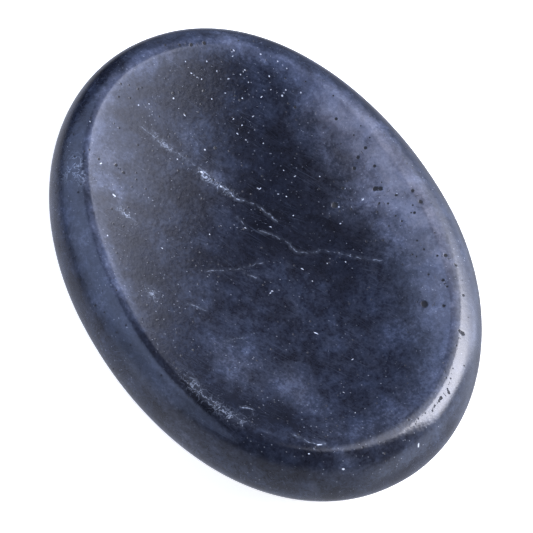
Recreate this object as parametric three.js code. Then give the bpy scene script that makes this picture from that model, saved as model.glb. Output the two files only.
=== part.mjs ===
// An iolite worry stone: one oval piece of blue-grey stone, ground flat underneath,
// rounded all round its side, with a shallow hollow for the thumb ground into its top.
// Millimetres, +Z up, the stone's length along X. It rests on its flat base at z = 0.
import * as THREE from "three";

// The stone's own sizes.
const LENGTH = 45;
const WIDTH = 33;
const HEIGHT = 8;

// The outline seen from above is nearly an ellipse. The exponent makes it a little fuller,
// and the waves are how far the hand-ground outline strays from it, as shares of its radius.
const OUTLINE_EXPONENT = 2.06;
const OUTLINE_WAVES = [
  { times: 3, cos: -0.0031, sin: -0.0025 },
  { times: 4, cos: 0.0012, sin: -0.0039 },
];

// The thumb hollow. Its edge is where the crest has turned over and the bowl begins.
// Its waves set it a little to one side of the outline's middle and bend its edge.
const HOLLOW_LENGTH = 38.6;
const HOLLOW_WIDTH = 26.3;
const HOLLOW_DEPTH = 2.4;
const HOLLOW_EXPONENT = 2.17;
const HOLLOW_WAVES = [
  { times: 1, cos: 0.0033, sin: -0.03 },
  { times: 2, cos: -0.0065, sin: -0.0095 },
  { times: 3, cos: -0.0124, sin: -0.0024 },
];

// The side: the widest level is a little below half height, the base is drawn in all round,
// and the crest is a narrow rounded turn between the side and the hollow.
const WIDEST_LEVEL = 3.8;
const BASE_INSET = 4.5;
const CREST_TURN = 0.3;
const CREST_DROP = 0.05;

// How finely the surface is faceted.
const STEPS_AROUND = 96;
const STEPS_UNDERSIDE = 8;
const STEPS_SHOULDER = 8;
const STEPS_CREST = 3;
const STEPS_HOLLOW = 13;

// The radius of a hand-ground oval at an angle: an ellipse with its own exponent
// in place of 2, times one plus its waves.
function ovalRadius(angle, length, width, exponent, waves) {
  const along = Math.abs(Math.cos(angle) / (length / 2)) ** exponent;
  const across = Math.abs(Math.sin(angle) / (width / 2)) ** exponent;
  let stray = 1;
  for (const wave of waves) {
    stray += wave.cos * Math.cos(wave.times * angle) + wave.sin * Math.sin(wave.times * angle);
  }
  return (along + across) ** (-1 / exponent) * stray;
}

function outlineRadius(angle) {
  return ovalRadius(angle, LENGTH, WIDTH, OUTLINE_EXPONENT, OUTLINE_WAVES);
}

function hollowRadius(angle) {
  return ovalRadius(angle, HOLLOW_LENGTH, HOLLOW_WIDTH, HOLLOW_EXPONENT, HOLLOW_WAVES);
}

function crestRadius(angle) {
  return hollowRadius(angle) + CREST_TURN;
}

// A ring is one level line of the surface: its radius at each angle, and its height.
// The underside is a quarter of an ellipse from the flat base's edge up to the widest level.
function undersideRing(share) {
  const turn = (share * Math.PI) / 2;
  return {
    radius: (angle) => outlineRadius(angle) - BASE_INSET * (1 - Math.sin(turn)),
    height: WIDEST_LEVEL * (1 - Math.cos(turn)),
  };
}

// The shoulder is a quarter of an ellipse from the widest level up to the crest.
function shoulderRing(share) {
  const turn = (share * Math.PI) / 2;
  return {
    radius: (angle) => {
      const outline = outlineRadius(angle);
      return outline - (outline - crestRadius(angle)) * (1 - Math.cos(turn));
    },
    height: WIDEST_LEVEL + (HEIGHT - WIDEST_LEVEL) * Math.sin(turn),
  };
}

// The crest turns over along a parabola, level at the top and falling towards the hollow.
function crestRing(share) {
  return {
    radius: (angle) => crestRadius(angle) - CREST_TURN * share,
    height: HEIGHT - CREST_DROP * share ** 2,
  };
}

// The hollow is a shallow bowl: its depth falls off as the square of the way out to its edge.
function hollowRing(share) {
  const out = 1 - share;
  return {
    radius: (angle) => hollowRadius(angle) * out,
    height: HEIGHT - HOLLOW_DEPTH + (HOLLOW_DEPTH - CREST_DROP) * out ** 2,
  };
}

// Every ring of the surface in order, from the base's edge round to the innermost one.
function surfaceRings() {
  const rings = [];
  for (let step = 0; step <= STEPS_UNDERSIDE; step += 1) {
    rings.push(undersideRing(step / STEPS_UNDERSIDE));
  }
  for (let step = 1; step <= STEPS_SHOULDER; step += 1) {
    rings.push(shoulderRing(step / STEPS_SHOULDER));
  }
  for (let step = 1; step <= STEPS_CREST; step += 1) {
    rings.push(crestRing(step / STEPS_CREST));
  }
  for (let step = 1; step < STEPS_HOLLOW; step += 1) {
    rings.push(hollowRing(step / STEPS_HOLLOW));
  }
  return rings;
}

// The angle of a step around the stone. Equal steps of an ellipse's own parameter keep
// the facets much the same size at the ends and along the sides.
function stepAngle(step) {
  const parameter = (step / STEPS_AROUND) * 2 * Math.PI;
  return Math.atan2(WIDTH * Math.sin(parameter), LENGTH * Math.cos(parameter));
}

// The closed surface: the rings joined by quads, a fan under the base and one in the hollow.
function stoneGeometry() {
  const rings = surfaceRings();
  const positions = [];
  for (const ring of rings) {
    for (let step = 0; step < STEPS_AROUND; step += 1) {
      const angle = stepAngle(step);
      const radius = ring.radius(angle);
      positions.push(radius * Math.cos(angle), radius * Math.sin(angle), ring.height);
    }
  }
  const baseCentre = positions.length / 3;
  positions.push(0, 0, 0);
  const hollowCentre = positions.length / 3;
  positions.push(0, 0, HEIGHT - HOLLOW_DEPTH);

  const faces = [];
  const lastRing = (rings.length - 1) * STEPS_AROUND;
  for (let step = 0; step < STEPS_AROUND; step += 1) {
    const next = (step + 1) % STEPS_AROUND;
    faces.push(baseCentre, next, step);
    for (let ring = 0; ring < rings.length - 1; ring += 1) {
      const lower = ring * STEPS_AROUND;
      const upper = lower + STEPS_AROUND;
      faces.push(lower + step, lower + next, upper + next);
      faces.push(lower + step, upper + next, upper + step);
    }
    faces.push(lastRing + step, lastRing + next, hollowCentre);
  }

  const geometry = new THREE.BufferGeometry();
  geometry.setAttribute("position", new THREE.Float32BufferAttribute(positions, 3));
  geometry.setIndex(faces);
  return geometry;
}

// The waves leave the outline slightly off centre, so the box it fills is centred on the origin.
function centred(geometry) {
  geometry.computeBoundingBox();
  const middle = geometry.boundingBox.getCenter(new THREE.Vector3());
  geometry.translate(-middle.x, -middle.y, 0);
  geometry.computeVertexNormals();
  return geometry;
}

// Polished iolite: a dark blue-grey stone with a glassy hand polish.
const polishedIolite = new THREE.MeshStandardMaterial({
  color: "#39415a",
  roughness: 0.2,
  metalness: 0,
});

const stone = new THREE.Mesh(centred(stoneGeometry()), polishedIolite);
stone.name = "worry_stone";

const worryStone = new THREE.Group();
worryStone.name = "iolite_worry_stone";
worryStone.add(stone);

export default worryStone;
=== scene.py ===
# %% [markdown]
# # A polished iolite worry stone
#
# A worry stone is one piece of stone, ground into an oval that fits the palm, with a shallow
# hollow for the thumb. This lesson gives the plain solid its surface: the hand-ground form with
# its pits, the cloudy blue body with its healed cracks, the glassy polish, and a soft studio
# to see them in. Lengths on the stone are written in millimetres and made metres at the end.

# %% The solid stone that everything is fitted to
import math

import bpy
import numpy as np
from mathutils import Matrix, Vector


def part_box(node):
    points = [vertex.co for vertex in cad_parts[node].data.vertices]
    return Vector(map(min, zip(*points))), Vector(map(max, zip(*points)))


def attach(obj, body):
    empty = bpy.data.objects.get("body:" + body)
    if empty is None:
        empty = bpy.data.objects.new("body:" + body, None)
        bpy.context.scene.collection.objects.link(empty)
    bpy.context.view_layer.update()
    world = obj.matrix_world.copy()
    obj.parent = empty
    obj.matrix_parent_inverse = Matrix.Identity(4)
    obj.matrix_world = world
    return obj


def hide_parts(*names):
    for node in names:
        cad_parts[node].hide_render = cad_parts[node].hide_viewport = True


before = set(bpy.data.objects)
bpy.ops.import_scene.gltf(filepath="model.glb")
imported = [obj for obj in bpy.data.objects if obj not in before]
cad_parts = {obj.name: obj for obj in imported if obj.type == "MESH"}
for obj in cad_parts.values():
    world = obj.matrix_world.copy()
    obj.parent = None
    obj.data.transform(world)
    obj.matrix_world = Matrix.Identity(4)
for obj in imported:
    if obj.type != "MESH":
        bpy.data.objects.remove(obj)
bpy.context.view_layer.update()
MM = 0.001
node_low, node_high = (np.array(corner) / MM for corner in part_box("worry_stone"))
print("the solid stone spans", np.round(node_high - node_low, 2), "mm")

# %% [markdown]
# ## The camera
#
# The photograph looks down on the stone from a little over 60 degrees, from the side of one long
# edge, with the picture turned so that the stone lies across it from corner to corner. A long lens
# a forearm's length away keeps the oval almost free of perspective. Building the camera from its
# angle, distance and scale, in place of a hand-placed position, keeps each of those readable.

# %% Camera
CAMERA_AZIMUTH = math.radians(47.38)
CAMERA_ELEVATION = math.radians(60.69)
CAMERA_ROLL = math.radians(16.04)
CAMERA_DISTANCE_MM = 400.0
PICTURE_PX = 533
PX_PER_MM = 11.982
STONE_MIDDLE_PX = (265.2, 260.2)
SENSOR_MM = 36.0

away = np.array([-math.sin(CAMERA_AZIMUTH), math.cos(CAMERA_AZIMUTH), 0.0])
rightward = np.array([math.cos(CAMERA_AZIMUTH), math.sin(CAMERA_AZIMUTH), 0.0])


def camera_axes():
    """The picture's right, its up, and the direction back to the camera, as unit vectors."""
    back = -away * math.cos(CAMERA_ELEVATION) + np.array([0.0, 0.0, math.sin(CAMERA_ELEVATION)])
    level_up = np.cross(back, rightward)
    right = rightward * math.cos(CAMERA_ROLL) + level_up * math.sin(CAMERA_ROLL)
    up = level_up * math.cos(CAMERA_ROLL) - rightward * math.sin(CAMERA_ROLL)
    return right, up, back


def make_camera():
    right, up, back = camera_axes()
    off_right = (PICTURE_PX / 2 - STONE_MIDDLE_PX[0]) / PX_PER_MM
    off_up = (STONE_MIDDLE_PX[1] - PICTURE_PX / 2) / PX_PER_MM
    aim = (node_low + node_high) / 2 + right * off_right + up * off_up
    data = bpy.data.cameras.new("camera")
    data.sensor_width = SENSOR_MM
    data.lens = SENSOR_MM * PX_PER_MM * CAMERA_DISTANCE_MM / PICTURE_PX
    camera = bpy.data.objects.new("camera", data)
    matrix = np.eye(4)
    matrix[:3, 0], matrix[:3, 1], matrix[:3, 2] = right, up, back
    matrix[:3, 3] = (aim + back * CAMERA_DISTANCE_MM) * MM
    camera.matrix_world = matrix.T.tolist()
    bpy.context.collection.objects.link(camera)
    bpy.context.scene.camera = camera
    return camera


camera = make_camera()
print(f"a {camera.data.lens:.0f} mm lens at {CAMERA_DISTANCE_MM:.0f} mm")

# %% [markdown]
# ## The form
#
# The stone is a solid of rings: each level line is an oval, and the ovals shrink from the widest
# one down to the flat base and up over the crest into the hollow. Writing it as a function of two
# parameters, the angle around and the row along the profile, gives a fine grid without a single
# loop over vertices, and the same formulas as the solid stone, so the two can't drift apart.

# %% The stone's sizes, as the solid has them
LENGTH = 45.0
WIDTH = 33.0
HEIGHT = 8.0
OUTLINE_EXPONENT = 2.06
OUTLINE_WAVES = ((3, -0.0031, -0.0025), (4, 0.0012, -0.0039))
HOLLOW_LENGTH = 38.6
HOLLOW_WIDTH = 26.3
HOLLOW_DEPTH = 2.4
HOLLOW_EXPONENT = 2.17
HOLLOW_WAVES = ((1, 0.0033, -0.03), (2, -0.0065, -0.0095), (3, -0.0124, -0.0024))
WIDEST_LEVEL = 3.8
BASE_INSET = 4.5
CREST_TURN = 0.3
CREST_DROP = 0.05

COLUMNS = 640
ROWS = {"base": 3, "underside": 14, "shoulder": 26, "crest": 7, "hollow": 97}


def oval_radius(angle, length, width, exponent, waves):
    """Radius of a hand-ground oval: (|cos/half length|^e + |sin/half width|^e)^(-1/e),
    times one plus its waves."""
    along = np.abs(np.cos(angle) / (length / 2)) ** exponent
    across = np.abs(np.sin(angle) / (width / 2)) ** exponent
    stray = 1 + sum(c * np.cos(times * angle) + s * np.sin(times * angle) for times, c, s in waves)
    return (along + across) ** (-1 / exponent) * stray


def profile_rows():
    """Four columns for each row of the profile, from the base's middle round to the hollow's:
    the share of the outline, the share of the hollow's edge, millimetres added, and the height.
    A row's radius is share times outline, plus share times hollow, plus the millimetres."""
    def steps(name, first=1):
        return np.arange(first, ROWS[name] + 1) / ROWS[name]

    share = steps("base")[:-1]
    base = np.c_[share, 0 * share, -BASE_INSET * share, 0 * share]
    turn = steps("underside", 0) * np.pi / 2
    underside = np.c_[1 + 0 * turn, 0 * turn, -BASE_INSET * (1 - np.sin(turn)),
                      WIDEST_LEVEL * (1 - np.cos(turn))]
    turn = steps("shoulder") * np.pi / 2
    shoulder = np.c_[np.cos(turn), 1 - np.cos(turn), CREST_TURN * (1 - np.cos(turn)),
                     WIDEST_LEVEL + (HEIGHT - WIDEST_LEVEL) * np.sin(turn)]
    share = steps("crest")
    crest = np.c_[0 * share, 1 + 0 * share, CREST_TURN * (1 - share), HEIGHT - CREST_DROP * share**2]
    out = 1 - steps("hollow")[:-1]
    bowl = HEIGHT - HOLLOW_DEPTH + (HOLLOW_DEPTH - CREST_DROP) * out**2
    hollow = np.c_[0 * out, out, 0 * out, bowl]
    return np.vstack([base, underside, shoulder, crest, hollow])


def stone_grid():
    """Points of the stone, rows by columns by 3, in millimetres, centred on the solid's box."""
    parameter = np.arange(COLUMNS) * 2 * np.pi / COLUMNS
    angle = np.arctan2(WIDTH * np.sin(parameter), LENGTH * np.cos(parameter))
    outline = oval_radius(angle, LENGTH, WIDTH, OUTLINE_EXPONENT, OUTLINE_WAVES)
    hollow = oval_radius(angle, HOLLOW_LENGTH, HOLLOW_WIDTH, HOLLOW_EXPONENT, HOLLOW_WAVES)
    rows = profile_rows()
    radius = rows[:, :1] * outline + rows[:, 1:2] * hollow + rows[:, 2:3]
    points = np.stack([radius * np.cos(angle), radius * np.sin(angle), rows[:, 3:] + 0 * radius], axis=-1)
    rim_x, rim_y = outline * np.cos(angle), outline * np.sin(angle)
    solid_middle = (node_low + node_high) / 2
    points[..., 0] += solid_middle[0] - (rim_x.max() + rim_x.min()) / 2
    points[..., 1] += solid_middle[1] - (rim_y.max() + rim_y.min()) / 2
    return points


def grid_normals(points):
    """Outward unit normals: the slope around crossed with the slope along."""
    around = np.roll(points, -1, axis=1) - np.roll(points, 1, axis=1)
    along = np.gradient(points, axis=0)
    normals = np.cross(around, along)
    return normals / np.linalg.norm(normals, axis=-1, keepdims=True)


grid = stone_grid()
print("the grid has", grid.shape[0], "rows of", grid.shape[1], "points")

# %% [markdown]
# ## Hand polishing and pits
#
# A stone polished by hand is never as true as a lens: its surface swells and dips by a hundredth of a
# millimetre, which is what makes a highlight's edge wander. Where a grain fell out while it was ground, it
# left a small pit, and the material paints each pit near black: painted shade in its hollow. The largest
# are pressed into the mesh. All of them are also kept as an offset: every point of the mesh is told which
# way its nearest pit lies, counted in that pit's own radius. An offset changes evenly across a face, so
# the material can draw a round pit from it that is far sharper than the mesh.

# %% Smooth noise
LATTICE = 48


def smooth_noise(points, size, seed):
    """Random values on a lattice with cells of that size, blended smoothly between its corners:
    each corner's value times the product of (1 - s) or s along each axis, s being 3t^2 - 2t^3."""
    lattice = np.random.default_rng(seed).uniform(-1, 1, (LATTICE, LATTICE, LATTICE))
    place = points / size + LATTICE // 2
    cell = np.floor(place).astype(int)
    blend = place - cell
    blend = blend * blend * (3 - 2 * blend)
    total = np.zeros(points.shape[:-1])
    for dx in (0, 1):
        for dy in (0, 1):
            for dz in (0, 1):
                weight = np.abs(1 - dx - blend[..., 0]) * np.abs(1 - dy - blend[..., 1])
                weight = weight * np.abs(1 - dz - blend[..., 2])
                corner = (cell + (dx, dy, dz)) % LATTICE
                total += weight * lattice[corner[..., 0], corner[..., 1], corner[..., 2]]
    return total


# %% The pits
# Where each pit is on the top of the stone, in millimetres along X and Y, and its radius.
PITS = (
    (10.5, 8.9, 0.34), (-1.2, 7.0, 0.3), (-0.8, 10.5, 0.23), (-0.6, 10.9, 0.21), (2.2, 13.1, 0.2),
    (7.5, 12.5, 0.19), (14.4, 10.3, 0.19), (-3.3, 9.9, 0.18), (-4.0, 10.6, 0.17), (-4.4, 11.5, 0.15),
    (-2.6, 11.4, 0.15), (1.0, 13.0, 0.15), (-7.9, 10.6, 0.15), (-10.5, 8.1, 0.14), (8.6, 12.9, 0.14),
    (9.4, 11.2, 0.15), (11.5, 10.1, 0.15), (-2.2, 8.3, 0.14), (2.8, 12.2, 0.13), (0.6, 11.7, 0.13),
    (10.1, 11.2, 0.11), (0.9, 10.8, 0.11), (0.5, 10.2, 0.1), (1.1, 9.7, 0.1), (2.2, 10.8, 0.09),
    (2.9, 11.0, 0.09), (-0.2, 8.0, 0.09), (3.6, 8.9, 0.1), (3.0, 7.7, 0.09), (5.1, 11.2, 0.09),
    (6.1, 11.3, 0.1), (6.0, 10.3, 0.09), (7.2, 11.9, 0.1), (8.3, 10.5, 0.1), (-9.8, 11.3, 0.09),
    (-5.9, 11.2, 0.08), (-5.0, 12.2, 0.08), (11.3, 12.1, 0.12), (18.8, 5.7, 0.13), (18.6, 6.6, 0.12),
    (-15.9, -0.7, 0.14), (-15.1, 1.8, 0.14), (-13.9, -0.6, 0.1), (-10.2, 0.4, 0.15),
    (-11.7, -8.4, 0.15), (-10.9, -8.1, 0.13), (-9.5, -3.5, 0.11), (-7.7, -1.1, 0.11),
    (-6.5, -2.8, 0.09), (-12.8, -5.7, 0.1), (-11.9, -4.7, 0.09), (-12.6, -9.6, 0.12),
    (-18.2, -4.6, 0.09), (-17.2, -5.3, 0.09), (-17.3, -3.4, 0.09), (-13.6, -10.0, 0.09),
    (-8.1, -10.7, 0.09), (-7.7, -9.6, 0.08), (-19.1, 2.6, 0.17), (-18.8, 3.7, 0.18),
    (18.3, 6.6, 0.08), (19.0, 5.4, 0.09), (19.2, 4.9, 0.07), (19.5, 4.5, 0.08), (19.7, 3.0, 0.07),
    (20.0, 2.6, 0.06), (17.6, 7.3, 0.07), (14.1, 10.1, 0.12), (8.5, 12.8, 0.1), (16.9, 7.9, 0.06),
    (19.5, 3.8, 0.06), (16.2, 7.4, 0.07), (15.2, 9.2, 0.08),
    (-19.5, 1.7, 0.12), (-20.0, 0.6, 0.12), (6.2, -10.6, 0.11), (-14.5, -2.8, 0.08),
)
# Only the first few are pressed in, a share of their radius deep and a little wider than drawn.
PRESSED_PITS = 8
PIT_DEPTH_SHARE = 0.25
PIT_SPREAD = 1.3
POLISH_SWELL = 0.01
POLISH_SWELL_SIZE = 5.0
POLISH_SWELL_SEED = 5
TOP_MARGIN = 0.2
FAR_FROM_PLACES = 50.0


def is_top(points):
    """True above the hollow's floor, less a small margin, so that no mark shows underneath."""
    return points[..., 2] > HEIGHT - HOLLOW_DEPTH - TOP_MARGIN


def nearest_offset(points, places, half_length, half_width, turn):
    """The offset of each point from its nearest place, turned into that place's own axes and
    divided by its half length and half width, as two numbers: inside, their length is below 1."""
    c, s = np.cos(turn), np.sin(turn)
    best = np.full(points.shape[:-1], np.inf)
    offset = np.full(points.shape[:-1] + (2,), FAR_FROM_PLACES)
    for k, (x, y) in enumerate(places):
        dx, dy = points[..., 0] - x, points[..., 1] - y
        distance = np.hypot(dx, dy)
        local = np.stack([(dx * c[k] + dy * s[k]) / half_length[k],
                          (dy * c[k] - dx * s[k]) / half_width[k]], axis=-1)
        nearer = (distance < best) & is_top(points)
        offset[nearer] = local[nearer]
        best = np.minimum(best, distance)
    return offset


def press_pits(points, normals):
    """Presses the largest pits in along the normal by depth times (1 - distance^2)^2, the distance
    counted in the pit's radius times its spread."""
    depth = np.zeros(points.shape[:-1])
    for x, y, radius in PITS[:PRESSED_PITS]:
        distance = np.hypot(points[..., 0] - x, points[..., 1] - y) / (PIT_SPREAD * radius)
        bowl = np.clip(1 - distance**2, 0, 1) ** 2 * is_top(points)
        depth = np.maximum(depth, bowl * radius * PIT_DEPTH_SHARE)
    return points - normals * depth[..., None]


normals = grid_normals(grid)
off_the_base = np.clip(grid[..., 2], 0, 1)
swell = POLISH_SWELL * smooth_noise(grid, POLISH_SWELL_SIZE, POLISH_SWELL_SEED) * off_the_base
polished = grid + normals * swell[..., None]
pitted = press_pits(polished, normals)
pits = np.array(PITS)
pit_offset = nearest_offset(grid, pits[:, :2], pits[:, 2], pits[:, 2], 0 * pits[:, 2])
print(f"{len(PITS)} pits, the deepest {PIT_DEPTH_SHARE * pits[:, 2].max():.2f} mm deep")

# %% [markdown]
# ## Clouds in the stone, and the crest's painted glow
#
# Iolite lets a little light through. Along the crest, where the stone is thin, that light is painted into
# the colour as a paler lavender glow: painted light, not the stone's own colour. The stone looks almost
# black in the middle, with paler drifts between. The glow and the drifts are placed for this one stone:
# the glow by its angle around the stone, the drifts as soft ovals. Each point of the mesh keeps their sum
# as one number, and a second one for how blue or how brown the stone is there. The finer mottling is left
# to the material.

# %% The large clouds and the crest's painted glow
# The crest's painted glow, light through the thin crest painted into the colour: the angle around the
# stone in degrees, how much paler the crest is painted there, and how many millimetres the glow reaches
# into the hollow and down the side.
PAINTED_CREST_GLOW = (
    (0, 0.28, 2.0, 0.6), (15, 0.2, 2.0, 0.6), (30, 0.32, 3.0, 0.7), (45, 0.5, 3.8, 0.9),
    (75, 0.56, 5.0, 1.1), (95, 0.62, 5.6, 1.2), (122, 0.58, 4.6, 1.2), (136, 0.38, 3.0, 0.8),
    (152, 0.42, 2.0, 0.6), (167, 0.34, 1.3, 0.6), (184, 0.44, 1.5, 0.6), (197, 0.34, 1.5, 0.5),
    (210, 0.3, 1.4, 0.35), (226, 0.3, 1.8, 0.35), (242, 0.38, 1.0, 0.35), (257, 0.4, 0.9, 0.4),
    (270, 0.36, 0.8, 0.5), (283, 0.0, 0.6, 0.5), (300, -0.1, 1.0, 0.5), (325, 0.0, 1.5, 0.5),
    (345, 0.22, 2.0, 0.6), (360, 0.28, 2.0, 0.6),
)
# Each drift: its middle along X and Y, its half length and half width, its turn in degrees,
# and how much paler (or, below zero, darker) it makes the stone.
DRIFTS = (
    (17.0, 4.0, 2.5, 3.0, 20, 0.12),
    (13.5, -4.0, 3.0, 1.8, 0, 0.15),
    (9.0, -7.5, 3.6, 2.0, 10, 0.26),
    (-18.2, 5.6, 1.6, 1.2, 40, 0.3),
    (-16.5, -8.0, 3.5, 1.6, -45, 0.14),
    (-8.3, -1.3, 1.3, 0.9, 20, 0.22),
    (-12.0, 0.0, 2.5, 1.5, 0, 0.06),
    (-15.8, 1.0, 2.2, 4.8, 0, -0.2),
    (-14.0, -4.6, 5.0, 1.4, 0, -0.16),
    (-3.0, -10.6, 6.5, 1.7, 0, -0.24),
    (-3.0, 4.0, 7.0, 3.2, 0, -0.14),
    (7.5, 1.5, 7.0, 5.0, 0, 0.06),
    (-11.0, -6.0, 6.0, 4.0, 10, 0.12),
    (15.0, -7.8, 4.0, 1.7, 35, -0.16),
    (5.0, -12.8, 5.0, 1.5, -5, -0.12),
    (12.3, -10.3, 4.5, 1.2, 35, -0.1),
    (-2.5, 0.2, 2.6, 1.8, 0, -0.2),
    (2.3, 5.4, 2.2, 1.6, 20, -0.14),
    (-9.3, 9.2, 3.4, 1.7, 30, 0.08),
    (-9.5, 11.0, 2.6, 1.3, 30, 0.24),
    (11.0, 6.5, 3.2, 2.2, 60, 0.14),
    (12.9, -4.6, 2.2, 1.1, -20, 0.2),
    (-11.0, -9.0, 3.0, 1.2, -30, 0.1),
    (-9.8, -9.6, 1.2, 0.7, -20, 0.2),
    (-7.5, -10.0, 1.3, 0.6, 0, 0.2),
    (-13.2, -8.0, 1.0, 1.6, 30, 0.22),
    (-12.0, -1.3, 1.1, 1.8, 20, 0.2),
    (-15.0, -4.0, 1.4, 0.8, 40, 0.16),
    (10.5, -14.0, 4.0, 1.3, 20, 0.25),
    (-8.0, -15.0, 6.0, 1.8, -15, 0.1),
    (-5.0, -14.9, 10.0, 1.1, -3, 0.12),
    (-11.8, -13.4, 1.0, 1.6, 10, 0.16),
    (-6.9, -14.6, 0.8, 1.0, 0, 0.18),
    (-1.3, -15.4, 1.2, 0.9, 0, 0.14),
    (3.4, -15.6, 1.4, 0.7, 0, -0.15),
    (20.2, -4.3, 1.4, 0.9, 60, 0.22),
    (20.4, -7.3, 1.2, 0.8, 40, 0.16),
    (16.5, -9.8, 1.6, 0.6, 30, -0.12),
    (21.3, 2.3, 1.4, 1.0, 80, 0.14),
    (8.9, -12.9, 0.8, 0.35, 15, -0.4),
    (10.9, -12.0, 0.9, 0.4, 25, -0.4),
    (12.4, -11.6, 0.7, 0.5, 20, -0.35),
)
# Each blue drift is written in the same way, its amount being how blue it makes the stone, or,
# below zero, how brown.
BLUE_DRIFTS = (
    (-12.0, 5.0, 7.0, 5.0, 20, 0.3),
    (-15.0, 9.0, 8.0, 3.0, 40, 0.3),
    (14.0, 5.0, 6.0, 5.0, -20, 0.1),
    (-8.5, -3.5, 5.0, 3.0, 20, -0.4),
    (-13.5, -7.5, 4.0, 2.6, -40, 0.4),
    (-7.0, 9.5, 7.0, 3.5, 25, -0.45),
    (9.0, -14.0, 5.0, 2.0, 10, -0.6),
    (-12.0, -1.3, 1.6, 2.2, 20, 0.4),
    (-2.0, 6.0, 6.0, 4.0, 0, -0.4),
    (6.0, 12.0, 9.0, 3.0, 0, -0.4),
    (2.0, -11.0, 5.0, 2.0, 0, 0.4),
)


# The drifts wander by this much, in waves so many times as long. The glow's edge wanders by its
# own amount, in waves of its own size, and its strength varies by a share of itself.
DRIFT_STRAY = 0.8
STRAY_WAVES = 5.0
STRAY_SEEDS = (21, 22)
GLOW_STRAY = 0.25
GLOW_PATCHES = 0.2
GLOW_WAVE_SIZE = 1.2
GLOW_SEEDS = (23, 24)


def drift_total(points, drifts, stray=DRIFT_STRAY):
    """Sum over the drifts of amount times exp(-(distance in the drift's own half sizes) squared),
    after a smooth wander of up to stray millimetres that keeps the ovals from looking drawn."""
    wander = np.stack([smooth_noise(points, STRAY_WAVES * stray, seed) for seed in STRAY_SEEDS], axis=-1)
    x, y = np.moveaxis(points[..., :2] + stray * wander, -1, 0)
    total = np.zeros(x.shape)
    for middle_x, middle_y, half_length, half_width, turn, amount in drifts:
        c, s = math.cos(math.radians(turn)), math.sin(math.radians(turn))
        along = ((x - middle_x) * c + (y - middle_y) * s) / half_length
        across = ((y - middle_y) * c - (x - middle_x) * s) / half_width
        total += amount * np.exp(-(along**2 + across**2))
    return total


def painted_crest_glow(points):
    """The painted glow's amount at this angle, made a little patchy, times exp(-(distance from the crest /
    reach) squared): light through the thin crest, painted as paler colour."""
    x, y = points[..., 0], points[..., 1]
    angle = np.arctan2(y, x)
    crest = CREST_TURN + oval_radius(angle, HOLLOW_LENGTH, HOLLOW_WIDTH, HOLLOW_EXPONENT, HOLLOW_WAVES)
    edge_wander, patches = (smooth_noise(points, GLOW_WAVE_SIZE, seed) for seed in GLOW_SEEDS)
    outward = np.hypot(x, y) - crest + GLOW_STRAY * edge_wander
    around = np.degrees(angle) % 360
    angles, amounts, inner, outer = np.array(PAINTED_CREST_GLOW).T
    reach = np.where(outward > 0, np.interp(around, angles, outer), np.interp(around, angles, inner))
    amount = np.interp(around, angles, amounts) * (1 + GLOW_PATCHES * patches)
    return amount * np.exp(-(outward / reach) ** 2)


# The placed clouds plus the crest's painted glow: light through the thin stone, painted as paler colour.
clouds_and_glow = drift_total(grid, DRIFTS) + painted_crest_glow(grid)
blueness = drift_total(grid, BLUE_DRIFTS)
print(f"the clouds run from {clouds_and_glow.min():.2f} to {clouds_and_glow.max():.2f}")

# %% [markdown]
# ## Healed cracks and flecks
#
# The pale threads across the hollow are cracks that healed inside the rock. Each is a line of a few
# points, and every point of the mesh is told its offset from the nearest stretch: how far to the side,
# with a sign, and how far past the end. Like the pits' offsets these change evenly across a face, so a
# thread can be finer than the mesh's own spacing. Where such cracks run close together the stone is
# crackled white, and each of those patches is placed as a soft oval. The brightest flecks are bits of mica
# painted as bright as the light they catch, and those beside the pits are painted glints. All of them are
# small ovals kept in the way of the pits.

# %% The cracks and the crackle
# Each crack: its points along X and Y in millimetres, and how bright it is.
CRACKS = (
    (((-14.4, -4.7), (-13.3, -4.2), (-12.3, -3.8), (-11.0, -2.9), (-10.3, -2.4), (-8.8, -1.6)), 0.55),
    (((-8.8, -1.6), (-7.4, -0.9), (-6.6, -0.6), (-5.5, -0.2), (-4.9, 0.5)), 1.0),
    (((-4.9, 0.5), (-4.4, 1.0), (-3.4, 1.5), (-2.0, 2.0)), 0.7),
    (((-2.0, 0.2), (-1.5, 0.8), (-0.8, 1.3), (0.2, 2.0), (1.0, 2.1), (1.6, 2.9)), 0.7),
    (((1.6, 2.9), (1.9, 4.1), (2.5, 4.9), (3.3, 5.7), (3.9, 6.3), (4.6, 7.2), (5.2, 8.0)), 0.55),
    (((-4.0, 1.3), (-3.1, 1.7), (-2.0, 2.1)), 0.45),
    (((-3.9, -0.9), (-2.6, -0.6)), 0.4),
    (((-0.3, -5.7), (0.4, -3.6), (0.5, -2.6), (0.7, -1.4), (0.8, -0.9)), 0.45),
    (((1.1, -2.9), (1.8, -2.0)), 0.5),
    (((1.9, -8.8), (2.4, -8.3), (3.1, -7.7)), 0.4),
    (((6.4, -7.6), (6.4, -6.6), (6.5, -5.7)), 0.45),
    (((16.7, -7.0), (17.4, -6.5), (18.0, -6.2), (18.4, -5.7), (18.5, -5.2)), 1.0),
    (((12.5, -9.7), (12.8, -9.2), (13.2, -8.9), (13.7, -9.1)), 0.7),
)
FAR_FROM_CRACKS = 5.0
CRACK_STRAY = 0.1
CRACK_WAVE_SIZE = 0.6
CRACK_SEEDS = (31, 32)
# Each patch of fine white crackle, written like a drift, and how far the patches wander.
CRACKLES = (
    (9.6, -12.2, 1.3, 0.5, 15, 0.45), (11.7, -11.5, 1.1, 0.5, 25, 0.5), (13.4, -10.5, 1.0, 0.5, 30, 0.45),
    (0.0, -11.3, 0.7, 0.5, 0, 0.5), (-12.9, -11.9, 0.9, 0.6, -40, 0.9), (-11.6, -11.8, 0.5, 0.4, 0, 0.7),
    (-8.6, -1.6, 0.6, 0.3, 30, 0.9), (-7.3, -9.9, 0.9, 0.3, 25, 0.7), (-6.9, -0.7, 0.9, 0.25, 30, 0.7),
    (-12.0, -3.4, 1.6, 0.3, 30, 0.4),
)
CRACKLE_STRAY = 0.3
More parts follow.
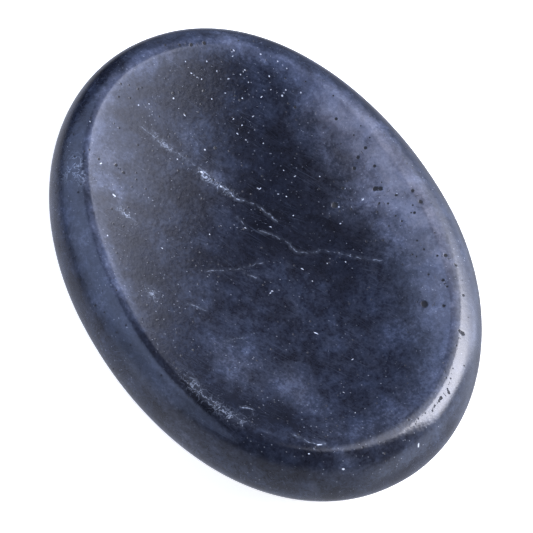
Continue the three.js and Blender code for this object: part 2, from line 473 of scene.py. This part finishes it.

# %% The brightest flecks and painted glints
# Each fleck, a bit of mica painted as bright as a glint: its middle along X and Y, its half length and
# half width, and its turn in degrees.
MICA_FLECKS_AND_GLINTS = (
    (-0.5, 9.2, 0.16, 0.1, 100), (-0.9, 7.2, 0.11, 0.07, 60), (0.5, 11.8, 0.1, 0.07, 40),
    (-2.1, 8.4, 0.09, 0.06, 120), (2.7, 1.8, 0.2, 0.06, 31), (3.6, -1.7, 0.16, 0.06, 100),
    (3.5, -1.5, 0.14, 0.05, 60), (8.6, -0.2, 0.28, 0.06, 35), (18.4, -5.6, 0.3, 0.08, 75),
    (21.4, 2.3, 0.18, 0.09, 150), (-9.2, -9.9, 0.24, 0.09, 25), (-5.5, 2.0, 0.14, 0.05, 20),
    (-5.4, 2.2, 0.12, 0.05, 100), (-11.9, 7.6, 0.12, 0.09, 0), (-13.9, 7.4, 0.11, 0.08, 0),
    (-15.9, 7.6, 0.11, 0.08, 30), (-14.7, 8.6, 0.09, 0.07, 0), (-16.9, 1.5, 0.1, 0.08, 0),
    (-17.3, 3.2, 0.1, 0.07, 0), (-15.2, 4.2, 0.15, 0.06, 70), (-15.3, 5.8, 0.09, 0.07, 0),
    (-17.2, 5.7, 0.12, 0.06, 20), (-16.8, 5.4, 0.09, 0.05, 100), (-13.2, 4.5, 0.1, 0.08, 0),
    (-12.6, 6.0, 0.14, 0.06, 95), (-15.5, -0.9, 0.1, 0.08, 0), (-16.0, -4.0, 0.1, 0.08, 0),
    (-15.8, -3.1, 0.09, 0.06, 0), (-11.9, 3.0, 0.1, 0.07, 100), (-11.1, 3.4, 0.08, 0.07, 0),
    (-10.6, 2.7, 0.13, 0.06, 30), (-11.4, 4.6, 0.13, 0.05, 95), (-8.9, 4.3, 0.08, 0.07, 0),
    (-9.8, 3.1, 0.12, 0.04, 45), (-10.4, -0.5, 0.12, 0.08, 60), (-13.8, -0.7, 0.17, 0.05, 15),
    (-14.2, 2.1, 0.12, 0.06, 20), (-4.3, 3.3, 0.13, 0.05, 60), (-3.8, 3.8, 0.09, 0.07, 0),
    (-6.0, 4.7, 0.08, 0.06, 0), (-5.1, 5.3, 0.12, 0.05, 95), (-2.0, 3.5, 0.08, 0.07, 0),
    (-1.9, 1.3, 0.11, 0.05, 40), (-4.1, 7.1, 0.08, 0.07, 0), (0.5, 6.6, 0.1, 0.07, 70),
    (-12.8, 7.0, 0.07, 0.06, 0), (-12.2, 8.1, 0.09, 0.07, 0), (-11.4, 9.1, 0.1, 0.08, 0),
    (-13.8, 9.0, 0.08, 0.06, 0), (-16.1, 2.1, 0.08, 0.06, 0), (-16.4, 1.8, 0.07, 0.06, 0),
    (-18.0, 1.5, 0.07, 0.06, 0), (-14.2, 5.6, 0.07, 0.06, 0), (-15.1, 5.3, 0.08, 0.06, 0),
    (-16.2, 3.6, 0.08, 0.06, 0), (-14.2, 3.4, 0.1, 0.05, 60), (12.2, 1.2, 0.12, 0.05, 95),
    (14.7, -1.1, 0.12, 0.04, 40), (16.9, -1.3, 0.07, 0.06, 0), (18.7, -6.7, 0.12, 0.06, 60),
    (20.8, -4.5, 0.16, 0.07, 60), (4.1, 2.0, 0.08, 0.06, 0), (3.8, 5.3, 0.09, 0.06, 0),
    (3.2, 3.9, 0.07, 0.06, 0), (-5.9, -12.3, 0.1, 0.07, 0), (-3.5, -8.3, 0.14, 0.05, 31),
    (-12.2, -9.6, 0.15, 0.08, 100), (-16.0, -8.7, 0.1, 0.06, 0), (-3.3, -3.8, 0.08, 0.06, 0),
    (-10.5, -3.1, 0.08, 0.06, 0), (-2.7, -0.7, 0.12, 0.04, 31), (-8.7, -1.7, 0.16, 0.13, 30),
    (-6.9, -0.8, 0.16, 0.09, 31),
)


# %% Offsets from the cracks and from the flecks with their painted glints
def crack_fields(points):
    """For each point, its offset from the nearest stretch of any crack, past the end and to the
    side, and that crack's brightness. The points wander a little first, to keep the cracks ragged."""
    wander = np.stack([smooth_noise(points, CRACK_WAVE_SIZE, seed) for seed in CRACK_SEEDS], axis=-1)
    x, y = np.moveaxis(points[..., :2] + CRACK_STRAY * wander, -1, 0)
    nearest = np.full(x.shape, FAR_FROM_CRACKS)
    offset = np.full(x.shape + (2,), FAR_FROM_CRACKS)
    brightness = np.zeros(x.shape)
    for line, bright in CRACKS:
        for (x0, y0), (x1, y1) in zip(line[:-1], line[1:]):
            span = math.hypot(x1 - x0, y1 - y0)
            along_x, along_y = (x1 - x0) / span, (y1 - y0) / span
            ahead = (x - x0) * along_x + (y - y0) * along_y
            past = ahead - np.clip(ahead, 0, span)
            aside = (y - y0) * along_x - (x - x0) * along_y
            distance = np.hypot(past, aside)
            nearer = (distance < nearest) & is_top(points)
            nearest[nearer] = distance[nearer]
            offset[nearer] = np.stack([past, aside], axis=-1)[nearer]
            brightness[nearer] = bright
    return offset, brightness


crack_offset, crack_brightness = crack_fields(grid)
flecks_and_glints = np.array(MICA_FLECKS_AND_GLINTS)
crackle = drift_total(grid, CRACKLES, CRACKLE_STRAY) * is_top(grid)
fleck_and_glint_offset = nearest_offset(grid, flecks_and_glints[:, :2], flecks_and_glints[:, 2], flecks_and_glints[:, 3], np.radians(flecks_and_glints[:, 4]))
print(f"{len(CRACKS)} cracks and {len(MICA_FLECKS_AND_GLINTS)} placed flecks")

# %% [markdown]
# ## One closed mesh
#
# The grid's rows close on themselves, and a fan of triangles closes it in the middle of the base
# and of the hollow. The fields worked out above become attributes of the mesh's points.

# %% The stone's mesh
def closed_mesh(name, points):
    """A mesh from a grid whose columns wrap round, closed by a fan at its first and last row."""
    rows, columns = points.shape[:2]
    first = points[0].mean(axis=0)
    last = points[-1].mean(axis=0)
    vertices = np.vstack([points.reshape(-1, 3), first, last]) * MM
    column = np.arange(columns)
    beside = (column + 1) % columns
    row = np.arange(rows - 1)[:, None] * columns
    quads = np.stack([row + column, row + beside, row + columns + beside, row + columns + column], axis=-1)
    foot = rows * columns
    under = np.c_[beside, column, np.full(columns, foot)]
    over = np.c_[(rows - 1) * columns + column, (rows - 1) * columns + beside, np.full(columns, foot + 1)]
    mesh = bpy.data.meshes.new(name)
    mesh.from_pydata(vertices.tolist(), [], quads.reshape(-1, 4).tolist() + under.tolist() + over.tolist())
    mesh.polygons.foreach_set("use_smooth", np.ones(len(mesh.polygons), dtype=bool))
    return mesh


def give_field(mesh, name, values):
    """Keeps one number for each point of the grid, and the row's mean for each fan's middle."""
    whole = np.r_[values.ravel(), values[0].mean(), values[-1].mean()]
    attribute = mesh.attributes.new(name, "FLOAT", "POINT")
    attribute.data.foreach_set("value", whole.astype(np.float32))


def give_offset(mesh, name, values):
    """Keeps two numbers for each point of the grid as a vector with nothing along its third axis."""
    flat = values.reshape(-1, 2)
    whole = np.vstack([flat, values[0].mean(axis=0), values[-1].mean(axis=0)])
    attribute = mesh.attributes.new(name, "FLOAT_VECTOR", "POINT")
    attribute.data.foreach_set("vector", np.c_[whole, 0 * whole[:, 0]].astype(np.float32).ravel())


stone_mesh = closed_mesh("polished_stone", pitted)
give_field(stone_mesh, "cloud_and_glow", clouds_and_glow)
give_field(stone_mesh, "blueness", blueness)
give_field(stone_mesh, "crackle", crackle)
give_field(stone_mesh, "crack_brightness", crack_brightness)
give_offset(stone_mesh, "pit_offset", pit_offset)
give_offset(stone_mesh, "crack_offset", crack_offset)
give_offset(stone_mesh, "fleck_and_glint_offset", fleck_and_glint_offset)
stone_mesh.update()
stone = bpy.data.objects.new("polished_stone", stone_mesh)
bpy.context.collection.objects.link(stone)
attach(stone, "root")
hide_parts("worry_stone")
triangles = sum(len(face.vertices) - 2 for face in stone_mesh.polygons)
print(f"the stone has {triangles} triangles")

# %% [markdown]
# ## Building materials from code
#
# A shader is a graph of nodes. Small helpers keep the graphs below readable: one adds a node and
# fills its sockets with values or links, and the others each stand for one node that is used
# often. A few more make the patterns that the stone is painted with.

# %% Helpers for node graphs
def add_node(tree, kind, *values, settings=None, **named):
    """Adds a node. Values fill its inputs in order and named ones by name, an underscore standing
    for a space. A value that is another node's output is linked."""
    node = tree.nodes.new(kind)
    for name, value in (settings or {}).items():
        setattr(node, name, value)
    sockets = list(zip(node.inputs, values))
    sockets += [(node.inputs[name.replace("_", " ")], value) for name, value in named.items()]
    for socket, value in sockets:
        if isinstance(value, bpy.types.NodeSocket):
            tree.links.new(value, socket)
        elif value is not None:
            socket.default_value = value
    return node


def calculate(tree, operation, *values, clamp=False):
    """The output of one Math node."""
    settings = {"operation": operation, "use_clamp": clamp}
    return add_node(tree, "ShaderNodeMath", *values, settings=settings).outputs[0]


def spread(tree, value, low, high, new_low=0.0, new_high=1.0):
    """value from low to high, eased in and out to run from new_low to new_high."""
    settings = {"interpolation_type": "SMOOTHSTEP"}
    named = {"Value": value, "From_Min": low, "From_Max": high, "To_Min": new_low, "To_Max": new_high}
    return add_node(tree, "ShaderNodeMapRange", settings=settings, **named).outputs[0]


def mix_colours(tree, factor, first, second, blend="MIX"):
    """first where factor is 0, second where it is 1."""
    mix = tree.nodes.new("ShaderNodeMix")
    mix.data_type, mix.blend_type = "RGBA", blend
    for socket, value in ((mix.inputs[0], factor), (mix.inputs[6], first), (mix.inputs[7], second)):
        if isinstance(value, bpy.types.NodeSocket):
            tree.links.new(value, socket)
        else:
            socket.default_value = value
    return mix.outputs[2]


def noise(tree, place, scale, detail=2.0, roughness=0.5, distortion=0.0):
    """The value of a Noise Texture, with scale in waves to the millimetre."""
    waves = {"Scale": scale, "Detail": detail, "Roughness": roughness, "Distortion": distortion}
    return add_node(tree, "ShaderNodeTexNoise", Vector=place, **waves).outputs["Fac"]


def centred_noise(tree, place, scale, **waves):
    """The same less a half, so that it runs evenly above and below zero."""
    return calculate(tree, "SUBTRACT", noise(tree, place, scale, **waves), 0.5)


def vector_math(tree, operation, *values):
    """One Vector Math node."""
    return add_node(tree, "ShaderNodeVectorMath", *values, settings={"operation": operation})


def field(tree, name, output="Fac"):
    """One of the mesh's own fields."""
    return add_node(tree, "ShaderNodeAttribute", settings={"attribute_name": name}).outputs[output]


# %% Patterns made of several nodes
def offset_length(tree, name, place, ragged, scale):
    """The length of one of the mesh's offsets, after a noise of that scale has moved it by up to
    ragged either way, which makes a round shape uneven."""
    wander = add_node(tree, "ShaderNodeTexNoise", Vector=place, Scale=scale, Detail=2.0).outputs["Color"]
    wander = vector_math(tree, "SUBTRACT", wander, (0.5, 0.5, 0.5)).outputs[0]
    reach = (2 * ragged, 2 * ragged, 0)
    moved = vector_math(tree, "MULTIPLY_ADD", wander, reach, field(tree, name, "Vector")).outputs[0]
    return vector_math(tree, "LENGTH", moved).outputs["Value"]


def stretched(tree, place, turn, scale):
    """Places turned about Z by that many degrees and then scaled along each axis."""
    rotation = (0, 0, -math.radians(turn))
    turned = add_node(tree, "ShaderNodeMapping", Vector=place, Rotation=rotation).outputs[0]
    return add_node(tree, "ShaderNodeMapping", Vector=turned, Scale=scale).outputs[0]


# How much of a speck's radius is solid before it fades.
SPECK_CORE = 0.6


def specks(tree, place, radius, share):
    """Round specks: 1 near the middle of a share of a Voronoi texture's cells, and 0 elsewhere. The
    radius is counted in cells."""
    cells = add_node(tree, "ShaderNodeTexVoronoi", Vector=place, Scale=1.0)
    chosen = add_node(tree, "ShaderNodeSeparateXYZ", cells.outputs["Color"]).outputs[0]
    chosen = calculate(tree, "LESS_THAN", chosen, share)
    dot = spread(tree, cells.outputs["Distance"], SPECK_CORE * radius, radius, 1.0, 0.0)
    return calculate(tree, "MULTIPLY", dot, chosen)


# %% [markdown]
# ## The iolite
#
# Iolite is near-black blue where it is deep, slate and lavender where it is cloudy. The pattern runs
# through the stone, so it is read from Object coordinates. Noise of several sizes lies on top of the
# placed clouds and the crest's painted glow. On top of that come fine grinding scratches, mica flecks with
# painted glints, the healed cracks, and the pits with their painted shade. Layers of noise are chosen over
# a picture, because they stay sharp from near and have no seams.

# %% The stone's body
# The body's colours from the deepest to the palest, and where each lies on the scale of tone. A point's
# tone is its cloud, with the crest's painted glow, and its mottling on top of the base tone, all times
# TONE_SCALE.
BODY_COLOURS = (
    (0.0, (0.0072, 0.0082, 0.0128, 1.0)),
    (0.25, (0.015, 0.0172, 0.026, 1.0)),
    (0.45, (0.035, 0.041, 0.059, 1.0)),
    (0.65, (0.086, 0.096, 0.132, 1.0)),
    (0.8, (0.18, 0.195, 0.25, 1.0)),
    (1.0, (0.34, 0.36, 0.43, 1.0)),
)
BASE_TONE = 0.34
TONE_SCALE = 0.8
# The mottling, from the broadest to the finest: waves to the millimetre, the noise's detail and roughness,
# and how much it changes the tone. Pale clouds and the painted glow keep only a share of it.
MOTTLING = ((0.16, 2, 0.5, 0.24), (0.45, 4, 0.6, 0.75), (1.4, 3, 0.6, 0.5), (4.0, 2, 0.7, 0.55))
PALE_CLOUD_AND_GLOW = (0.25, 0.6)
PALE_MOTTLING_SHARE = 0.55
BLUE_TINT = (0.87, 1.0, 1.18, 1.0)
BROWN_TINT = (1.12, 1.0, 0.84, 1.0)
TINT_PATCHES = 2.0


def body_colour(tree, place):
    """The clouded body with the crest's painted glow: placed clouds and glow and four sizes of noise,
    calmer where they are palest, through a ramp of colours."""
    cloud_and_glow = field(tree, "cloud_and_glow")
    mottle = 0.0
    for scale, detail, roughness, amount in MOTTLING:
        wave = centred_noise(tree, place, scale, detail=detail, roughness=roughness, distortion=0.3)
        mottle = calculate(tree, "MULTIPLY_ADD", wave, amount, mottle)
    calmer = spread(tree, cloud_and_glow, *PALE_CLOUD_AND_GLOW, 1.0, PALE_MOTTLING_SHARE)
    tone = calculate(tree, "MULTIPLY_ADD", mottle, calmer, calculate(tree, "ADD", cloud_and_glow, BASE_TONE))
    tone = calculate(tree, "MULTIPLY", tone, TONE_SCALE, clamp=True)
    ramp = add_node(tree, "ShaderNodeValToRGB", tone)
    elements = ramp.color_ramp.elements
    elements[0].position, elements[0].color = BODY_COLOURS[0]
    elements[1].position, elements[1].color = BODY_COLOURS[-1]
    for position, colour in BODY_COLOURS[1:-1]:
        elements.new(position).color = colour
    patchy = centred_noise(tree, place, scale=0.45, detail=3, roughness=0.6, distortion=0.5)
    blue = calculate(tree, "MULTIPLY_ADD", patchy, TINT_PATCHES, field(tree, "blueness"))
    blue = calculate(tree, "MULTIPLY_ADD", blue, 0.5, 0.5, clamp=True)
    tint = mix_colours(tree, blue, BROWN_TINT, BLUE_TINT)
    return mix_colours(tree, 1.0, ramp.outputs["Color"], tint, "MULTIPLY")


# %% Scratches, crackle and cracks
# The grinding direction in degrees. Each set of scratches: its turn, how far its noise is shifted
# so that no two sets are alike, and how strongly it shows.
STREAK_TURN = 31
SCRATCH_SETS = ((STREAK_TURN, 0, 0.2), (STREAK_TURN + 14, 40, 0.16), (STREAK_TURN - 9, 80, 0.14))
SCRATCH_STRETCH = (0.3, 12.0, 1.0)
SCRATCH_PALE = (0.13, 0.155, 0.21, 1.0)
CRACK_WHITE = (0.46, 0.52, 0.62, 1.0)
# In millimetres: how far a crack's thread and the halo around it reach to each side.
THREAD_REACH = 0.05
HALO_REACH = (0.02, 0.3)
HALO_STRENGTH = 0.1
# A crackle thread reaches this far from the noise's middle value, over a faint haze.
CRACKLE_REACH = 0.035
CRACKLE_HAZE = 0.06


def scratches(tree, place):
    """Hair-thin pale scratches along the grinding direction, bunched by a wider noise."""
    total = None
    for turn, offset, amount in SCRATCH_SETS:
        lines = stretched(tree, place, turn, SCRATCH_STRETCH)
        lines = add_node(tree, "ShaderNodeMapping", Vector=lines, Location=(offset, offset, 0)).outputs[0]
        line = spread(tree, noise(tree, lines, scale=1.0, detail=1), low=0.62, high=0.78, new_high=amount)
        total = line if total is None else calculate(tree, "MAXIMUM", total, line)
    bunched = spread(tree, noise(tree, place, scale=0.35, detail=2), low=0.35, high=0.65)
    return calculate(tree, "MULTIPLY", total, bunched)


def crackle_threads(tree, place):
    """Fine curling threads where a noise crosses its own middle value, inside the placed patches."""
    wave = centred_noise(tree, place, scale=1.5, detail=3, roughness=0.6, distortion=0.8)
    thread = spread(tree, calculate(tree, "ABSOLUTE", wave), 0.0, CRACKLE_REACH, 1.0, CRACKLE_HAZE)
    return calculate(tree, "MULTIPLY", thread, field(tree, "crackle"), clamp=True)


def crack_threads(tree, place):
    """The placed cracks: a thread and its faint halo, broken up by a noise, each crack at its own
    brightness."""
    away_from_crack = offset_length(tree, "crack_offset", place, ragged=0.14, scale=2.2)
    thread = spread(tree, away_from_crack, 0.0, THREAD_REACH, 1.0, 0.0)
    halo = spread(tree, away_from_crack, *HALO_REACH, HALO_STRENGTH, 0.0)
    breaks = noise(tree, place, scale=2.4, detail=3, roughness=0.7)
    broken = spread(tree, breaks, low=0.4, high=0.62, new_low=0.1)
    thread = calculate(tree, "MULTIPLY", calculate(tree, "MAXIMUM", thread, halo), broken)
    return calculate(tree, "MULTIPLY", thread, field(tree, "crack_brightness"))


# %% Flecks and pits, with painted glints and painted shade
# Pale mica for the dust. For the placed flecks it is also a painted glint: caught light painted as colour.
FLECK_AND_GLINT_WHITE = (0.62, 0.66, 0.72, 1.0)
# Painted shade: the pits' near-black colour stands in for the shade in their hollows.
PIT_PAINTED_SHADE = (0.004, 0.0045, 0.007, 1.0)
# The dust of fine flecks and the fine pits are specks: cells to the millimetre, the speck's radius
# in cells, and the share of the cells that have one.
DUST_CELLS = (2.4, 3.2, 3.2)
DUST_RADIUS = 0.17
DUST_SHARE = 0.5
PRICK_CELLS = (1.9, 1.9, 1.9)
PRICK_RADIUS = 0.19
PRICK_SHARE = 0.16


def mica_dust(tree, place):
    """Fine pale flecks, drawn out along the grinding direction and bunched by a wider noise."""
    bunches = noise(tree, place, scale=0.22, detail=2)
    bunched = spread(tree, bunches, low=0.4, high=0.62, new_low=0.06, new_high=0.3)
    dust = specks(tree, stretched(tree, place, STREAK_TURN, DUST_CELLS), DUST_RADIUS, DUST_SHARE)
    return calculate(tree, "MULTIPLY", dust, bunched)


def placed_flecks_and_glints(tree, place):
    """1 inside the placed flecks, mica painted as glints, with ragged edges."""
    out = offset_length(tree, "fleck_and_glint_offset", place, ragged=0.4, scale=6.0)
    return spread(tree, out, low=0.45, high=0.9, new_low=1.0, new_high=0.0)


def all_pits(tree, place):
    """1 inside the placed pits and the fine ones scattered between them."""
    out = offset_length(tree, "pit_offset", place, ragged=0.35, scale=4.0)
    placed = spread(tree, out, low=0.75, high=1.15, new_low=1.0, new_high=0.0)
    pricks = specks(tree, stretched(tree, place, 0, PRICK_CELLS), PRICK_RADIUS, PRICK_SHARE)
    return calculate(tree, "MAXIMUM", placed, pricks)


# %% The iolite's material
# The roughness of the polish and of a pit, the depth in metres of the polish's ripple and of a
# pit's bump, and how strongly iolite bends light.
POLISH = 0.12
PIT_ROUGHNESS = 0.75
POLISH_RIPPLE = 0.000014
PIT_BUMP = 0.00004
REFRACTION = 1.54


def iolite_material():
    """Layers of colour over the clouded body, then the roughness and the bumps of the polish."""
    material = bpy.data.materials.new("polished_iolite")
    material.use_nodes = True
    tree = material.node_tree
    shader = tree.nodes["Principled BSDF"]
    coordinates = add_node(tree, "ShaderNodeTexCoord").outputs["Object"]
    place = vector_math(tree, "MULTIPLY", coordinates, (1 / MM, 1 / MM, 1 / MM)).outputs[0]

    colour = body_colour(tree, place)
    # The placed flecks paint glints into the colour: light caught by the mica, painted white.
    for layer, pale in ((scratches, SCRATCH_PALE), (mica_dust, FLECK_AND_GLINT_WHITE), (crack_threads, CRACK_WHITE),
                        (crackle_threads, CRACK_WHITE), (placed_flecks_and_glints, FLECK_AND_GLINT_WHITE)):
        colour = mix_colours(tree, layer(tree, place), colour, pale)
    pit = all_pits(tree, place)
    # The pits are painted near black: painted shade inside each pit.
    colour = mix_colours(tree, pit, colour, PIT_PAINTED_SHADE)

    tree.links.new(colour, shader.inputs["Base Color"])
    tree.links.new(spread(tree, pit, 0.0, 1.0, POLISH, PIT_ROUGHNESS), shader.inputs["Roughness"])
    ripple = noise(tree, place, scale=2.5, detail=3, roughness=0.55)
    ripple = add_node(tree, "ShaderNodeBump", Strength=1.0, Distance=POLISH_RIPPLE, Height=ripple)
    bump = add_node(tree, "ShaderNodeBump", Strength=0.5, Distance=PIT_BUMP, Height=pit,
                    Normal=ripple.outputs[0])
    bump.invert = True
    tree.links.new(bump.outputs["Normal"], shader.inputs["Normal"])
    shader.inputs["IOR"].default_value = REFRACTION
    return material


stone_mesh.materials.append(iolite_material())
print("the iolite has", len(stone_mesh.materials[0].node_tree.nodes), "nodes")

# %% [markdown]
# ## The studio
#
# A glossy dark stone shows the room more than itself. One large soft panel stands to the right,
# inside a wider and weaker one that veils the left of the hollow in grey. Weak fills light the left,
# the right and the far side, and a pale table glows up at the stone from below. Between them the
# sky is dark, which draws the dark line along the crest.
#
# Large panels with soft edges are easiest to draw straight on the sky: each direction is flattened
# to two angles from straight up, one to the picture's right and one away from the camera, and
# every panel is a soft rectangle in those angles.

# %% The soft panels of the sky
# Each panel: its left and right edges in degrees from straight up, each with how softly it ends,
# the same for its near and far edges, how far it leans right as it goes away, its colour, and its
# strength.
PANELS = {
    "main panel": (((33, 6), (75, 24)), ((2, 10), (45, 34)), 0.0, (1.0, 1.0, 1.1), 9.3),
    "veil": (((10, 24), (72, 20)), ((-4, 12), (68, 30)), 0.25, (0.95, 1.0, 1.24), 3.0),
    "glow behind": (((38, 16), (84, 24)), ((40, 40), (95, 50)), 0.0, (0.88, 1.0, 1.4), 0.9),
    "left fill": (((-100, 18), (-23, 6)), ((-70, 16), (44, 14)), 0.0, (0.8, 1.0, 1.6), 0.68),
    "left fill's middle": (((-80, 40), (-28, 16)), ((-30, 30), (32, 20)), 0.0, (0.8, 1.0, 1.6), 0.72),
    "right fill": (((78, 18), (112, 34)), ((-70, 40), (80, 50)), 0.0, (0.87, 1.0, 1.36), 0.8),
    "far fill": (((-45, 20), (70, 40)), ((60, 40), (102, 30)), 0.0, (0.8, 1.0, 1.6), 0.3),
}
# The table's light fills the lower half of the sky. Its horizon is tilted down towards the far left,
# and it fades out from the first height above that horizon to the second, each an angle's sine.
TABLE_COLOUR = (0.95, 1.0, 1.2)
TABLE_GLOW = 0.45
TABLE_TILT = math.radians(20)
TABLE_LEAN = 0.7
TABLE_FADE = (-0.4, 0.05)
# A hair over 1, so that the distance from straight up is never zero where it divides.
OVER_ONE = 1.0001


def part_along(tree, direction, axis):
    """How far a direction runs along an axis."""
    return vector_math(tree, "DOT_PRODUCT", direction, tuple(axis)).outputs["Value"]


def soft_panel(tree, right, ahead, edges_right, edges_ahead):
    """The product of four eased edges: 1 inside the panel, 0 outside."""
    inside = 1.0
    for angle, ((low, low_soft), (high, high_soft)) in ((right, edges_right), (ahead, edges_ahead)):
        rise = spread(tree, angle, low - low_soft / 2, low + low_soft / 2)
        fall = spread(tree, angle, high - high_soft / 2, high + high_soft / 2, 1.0, 0.0)
        inside = calculate(tree, "MULTIPLY", calculate(tree, "MULTIPLY", rise, fall), inside)
    return inside


def add_light(tree, total, amount, colour, strength):
    """total plus amount times colour times strength."""
    scaled = tuple(part * strength for part in colour)
    return vector_math(tree, "MULTIPLY_ADD", amount, scaled, total).outputs[0]


def make_sky():
    """A world whose colour is the sum of the panels and the table's light."""
    world = bpy.data.worlds.new("studio")
    world.use_nodes = True
    tree = world.node_tree
    direction = add_node(tree, "ShaderNodeTexCoord").outputs["Generated"]
    right, ahead, up = (part_along(tree, direction, axis) for axis in (rightward, away, (0, 0, 1)))
    from_zenith = calculate(tree, "DEGREES", calculate(tree, "ARCCOSINE", up))
    up_squared = calculate(tree, "MULTIPLY", up, up)
    level = calculate(tree, "SQRT", calculate(tree, "SUBTRACT", OVER_ONE, up_squared))
    stretch = calculate(tree, "DIVIDE", from_zenith, level)
    right_angle = calculate(tree, "MULTIPLY", right, stretch)
    ahead_angle = calculate(tree, "MULTIPLY", ahead, stretch)
    light = (0.0, 0.0, 0.0)
    for edges_right, edges_ahead, lean, colour, strength in PANELS.values():
        leant = calculate(tree, "MULTIPLY_ADD", ahead_angle, -lean, right_angle)
        inside = soft_panel(tree, leant, ahead_angle, edges_right, edges_ahead)
        light = add_light(tree, light, inside, colour, strength)
    far_left = (away - rightward) * TABLE_LEAN
    horizon = far_left * math.sin(TABLE_TILT) + np.array([0, 0, math.cos(TABLE_TILT)])
    table = spread(tree, part_along(tree, direction, horizon), *TABLE_FADE, 1.0, 0.0)
    light = add_light(tree, light, table, TABLE_COLOUR, TABLE_GLOW)
    tree.links.new(light, tree.nodes["Background"].inputs["Color"])
    bpy.context.scene.world = world


make_sky()
print("the sky holds", ", ".join(PANELS))

# %% [markdown]
# ## The floor
#
# A light table: a pale matt top, lit a little from below, that runs far past the picture's edge.
# Its own glow keeps the stone's shadow from greying it.

# %% The floor
# In metres: how far the floor reaches, and how little it lies below the base.
FLOOR_RADIUS = 1.5
FLOOR_DROP = 0.00002
FLOOR_SIDES = 64
FLOOR_PALE = (0.8, 0.8, 0.78, 1.0)
FLOOR_GLOW = 0.85


def make_floor():
    """A flat disc just under the stone's base: points evenly round a circle."""
    angle = np.arange(FLOOR_SIDES) * 2 * np.pi / FLOOR_SIDES
    rim = np.c_[FLOOR_RADIUS * np.cos(angle), FLOOR_RADIUS * np.sin(angle), 0 * angle - FLOOR_DROP]
    mesh = bpy.data.meshes.new("floor")
    mesh.from_pydata(rim.tolist(), [], [list(range(FLOOR_SIDES))])
    floor = bpy.data.objects.new("floor", mesh)
    bpy.context.collection.objects.link(floor)
    material = bpy.data.materials.new("pale_table")
    material.use_nodes = True
    shader = material.node_tree.nodes["Principled BSDF"]
    shader.inputs["Base Color"].default_value = FLOOR_PALE
    shader.inputs["Emission Color"].default_value = (1.0, 1.0, 1.0, 1.0)
    shader.inputs["Emission Strength"].default_value = FLOOR_GLOW
    shader.inputs["Roughness"].default_value = 1.0
    shader.inputs["Specular IOR Level"].default_value = 0.0
    mesh.materials.append(material)
    floor.visible_glossy = False


make_floor()
print(f"the floor is {2 * FLOOR_RADIUS:.0f} m across")

# %% Plain colours
# The picture shows the light as it falls, without the softened highlights of a film look.
bpy.context.scene.view_settings.view_transform = "Standard"
bpy.context.scene.view_settings.look = "None"
print("the colours are shown as", bpy.context.scene.view_settings.view_transform)
